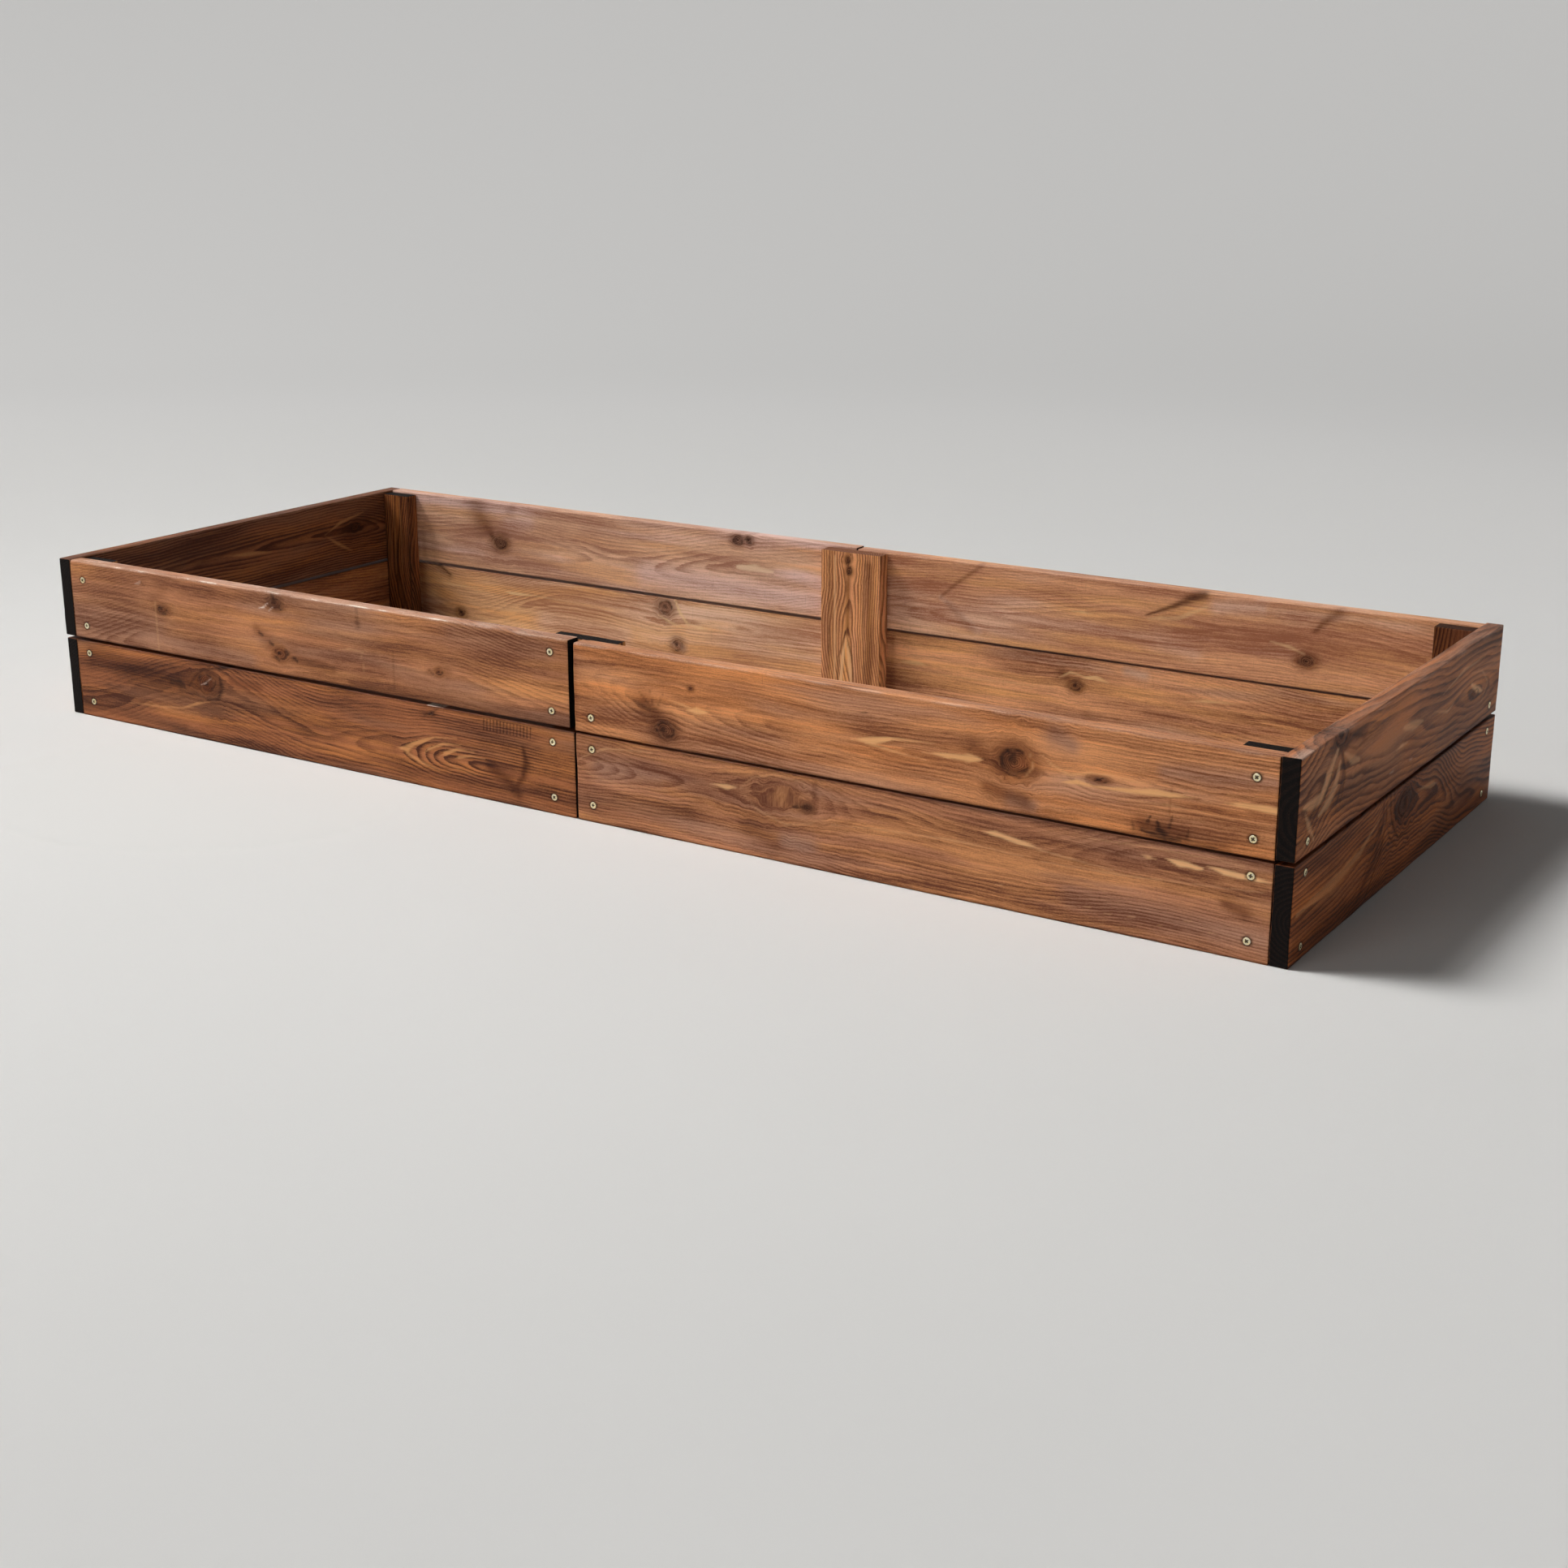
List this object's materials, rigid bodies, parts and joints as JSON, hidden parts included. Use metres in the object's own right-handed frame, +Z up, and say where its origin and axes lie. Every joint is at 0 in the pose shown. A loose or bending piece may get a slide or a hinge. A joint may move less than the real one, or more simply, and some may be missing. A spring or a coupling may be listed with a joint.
{
  "type": "raised garden bed",
  "caption": "Long rectangular raised garden bed of stained timber boards in tiers, screwed to short inner posts, open at the top and at the bottom.",
  "frame": {"origin": "on the ground, under the middle of the bed", "axes": "+X along the bed, +Y from the front long side to the back one, +Z up"},
  "size_m": [2.4024, 0.9024, 0.295],
  "materials": {
    "side_board_wood": "satin reddish-brown stain, cathedral grain and knots, paler worn edges",
    "end_board_wood": "satin brown stain, swirling grain, near-black end grain",
    "post_wood": "dark brown stain, straight vertical grain, near-black end grain",
    "screw_zinc": "bright yellowish zinc plate"
  },
  "bodies": {
    "root": {"back_left_post": "post_wood", "back_lower_left_board": "side_board_wood", "back_lower_right_board": "side_board_wood", "back_middle_post": "post_wood", "back_right_post": "post_wood", "back_upper_left_board": "side_board_wood", "back_upper_right_board": "side_board_wood", "front_left_post": "post_wood", "front_lower_left_board": "side_board_wood", "front_lower_right_board": "side_board_wood", "front_middle_post": "post_wood", "front_right_post": "post_wood", "front_upper_left_board": "side_board_wood", "front_upper_right_board": "side_board_wood", "left_end_lower_board": "end_board_wood", "left_end_upper_board": "end_board_wood", "right_end_lower_board": "end_board_wood", "right_end_upper_board": "end_board_wood", "back_screw_joint_left_1": "screw_zinc", "back_screw_joint_left_2": "screw_zinc", "back_screw_joint_left_3": "screw_zinc", "back_screw_joint_left_4": "screw_zinc", "back_screw_joint_right_1": "screw_zinc", "back_screw_joint_right_2": "screw_zinc", "back_screw_joint_right_3": "screw_zinc", "back_screw_left_end_1": "screw_zinc", "back_screw_left_end_2": "screw_zinc", "back_screw_left_end_3": "screw_zinc", "back_screw_left_end_4": "screw_zinc", "back_screw_right_end_1": "screw_zinc", "back_screw_right_end_2": "screw_zinc", "back_screw_right_end_3": "screw_zinc", "back_screw_right_end_4": "screw_zinc", "front_screw_joint_left_1": "screw_zinc", "front_screw_joint_left_2": "screw_zinc", "front_screw_joint_left_3": "screw_zinc", "front_screw_joint_left_4": "screw_zinc", "front_screw_joint_right_1": "screw_zinc", "front_screw_joint_right_2": "screw_zinc", "front_screw_joint_right_3": "screw_zinc", "front_screw_left_end_1": "screw_zinc", "front_screw_left_end_2": "screw_zinc", "front_screw_left_end_3": "screw_zinc", "front_screw_left_end_4": "screw_zinc", "front_screw_right_end_1": "screw_zinc", "front_screw_right_end_2": "screw_zinc", "front_screw_right_end_3": "screw_zinc", "front_screw_right_end_4": "screw_zinc", "left_end_screw_back_1": "screw_zinc", "left_end_screw_back_2": "screw_zinc", "left_end_screw_back_3": "screw_zinc", "left_end_screw_front_1": "screw_zinc", "left_end_screw_front_2": "screw_zinc", "left_end_screw_front_3": "screw_zinc", "right_end_screw_back_1": "screw_zinc", "right_end_screw_back_2": "screw_zinc", "right_end_screw_back_3": "screw_zinc", "right_end_screw_front_1": "screw_zinc", "right_end_screw_front_2": "screw_zinc", "right_end_screw_front_3": "screw_zinc"}
  },
  "joints": []
}
